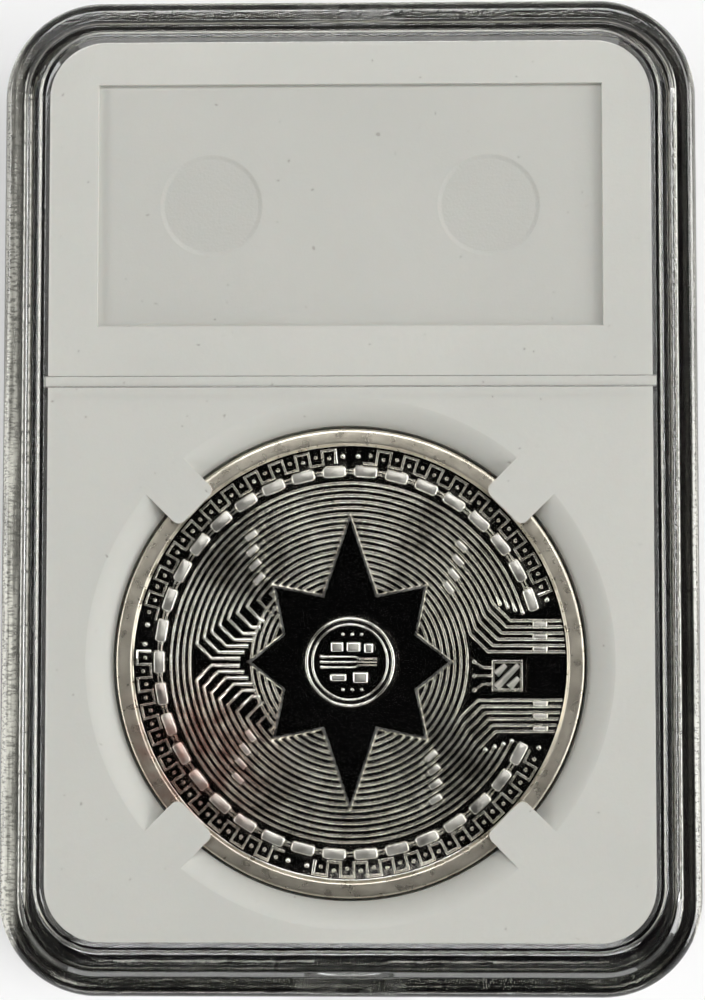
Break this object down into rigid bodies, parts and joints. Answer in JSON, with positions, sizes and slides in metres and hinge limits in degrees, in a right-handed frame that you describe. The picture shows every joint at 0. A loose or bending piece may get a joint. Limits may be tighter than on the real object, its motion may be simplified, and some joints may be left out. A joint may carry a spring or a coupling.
{
  "type": "graded coin slab",
  "caption": "Flat clear plastic coin holder with round corners and a stacking ridge, holding a large medal in a white insert with an empty label recess.",
  "frame": {"origin": "middle of the footprint, on the surface that the slab lies on", "axes": "+X across the slab to the right of its face, +Y towards the label end, +Z out of its face"},
  "size_m": [0.0594, 0.0848, 0.0082],
  "materials": {
    "clear_shell": "clear moulded polystyrene, polished window, fine handling marks on the rim",
    "white_insert": "moulded, fine satin grain",
    "coin_metal": "struck relief in satin and mirror, flat satin rim, reeded edge"
  },
  "bodies": {
    "rear_shell": {"rear_shell": "clear_shell"},
    "rear_insert": {"rear_insert": "white_insert"},
    "coin": {"coin": "coin_metal"},
    "front_insert": {"front_insert": "white_insert"},
    "front_shell": {"front_shell": "clear_shell"}
  },
  "joints": [
    {"name": "rear_insert_lift", "type": "slide", "parent": "rear_shell", "child": "rear_insert", "axis": [0, 0, 1], "range_m": [0, 0.012]},
    {"name": "coin_lift", "type": "slide", "parent": "rear_insert", "child": "coin", "axis": [0, 0, 1], "range_m": [0, 0.01]},
    {"name": "front_insert_lift", "type": "slide", "parent": "coin", "child": "front_insert", "axis": [0, 0, 1], "range_m": [0, 0.01]},
    {"name": "front_shell_lift", "type": "slide", "parent": "front_insert", "child": "front_shell", "axis": [0, 0, 1], "range_m": [0, 0.025]}
  ]
}
